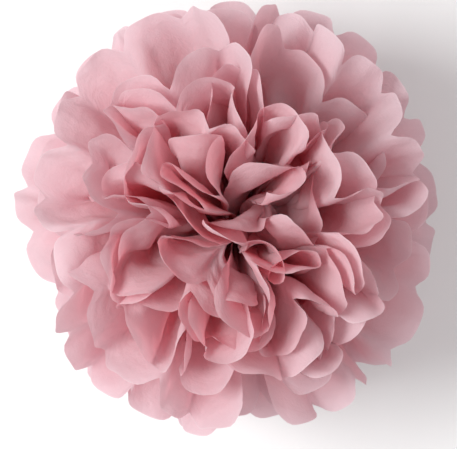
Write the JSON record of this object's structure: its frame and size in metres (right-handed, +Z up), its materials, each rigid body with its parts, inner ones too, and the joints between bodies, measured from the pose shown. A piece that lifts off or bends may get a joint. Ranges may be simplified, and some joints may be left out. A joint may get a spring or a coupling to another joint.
{
  "type": "tissue paper pom pom",
  "caption": "Round hanging decoration of pleated tissue sheets with rounded ends, tied across the middle and opened into a full ball of ruffled petals.",
  "frame": {"origin": "centre of the bounding box's bottom face, where the lowest petals meet the surface", "axes": "+Z is up along the ball's pole, through the eye of the flower; the sheets run out from the tie to +X and -X; the tie runs along Y"},
  "size_m": [0.2552, 0.2606, 0.2332],
  "materials": {
    "tissue": "matte, slightly translucent dusty pink tissue",
    "wire": "plain thin wire"
  },
  "bodies": {
    "root": {"tissue_sheet_01": "tissue", "tissue_sheet_02": "tissue", "tissue_sheet_03": "tissue", "tissue_sheet_04": "tissue", "tissue_sheet_05": "tissue", "tissue_sheet_06": "tissue", "tissue_sheet_07": "tissue", "tissue_sheet_08": "tissue", "tissue_sheet_09": "tissue", "tissue_sheet_10": "tissue", "tissue_sheet_11": "tissue", "tissue_sheet_12": "tissue", "binding_wire": "wire"}
  },
  "joints": []
}
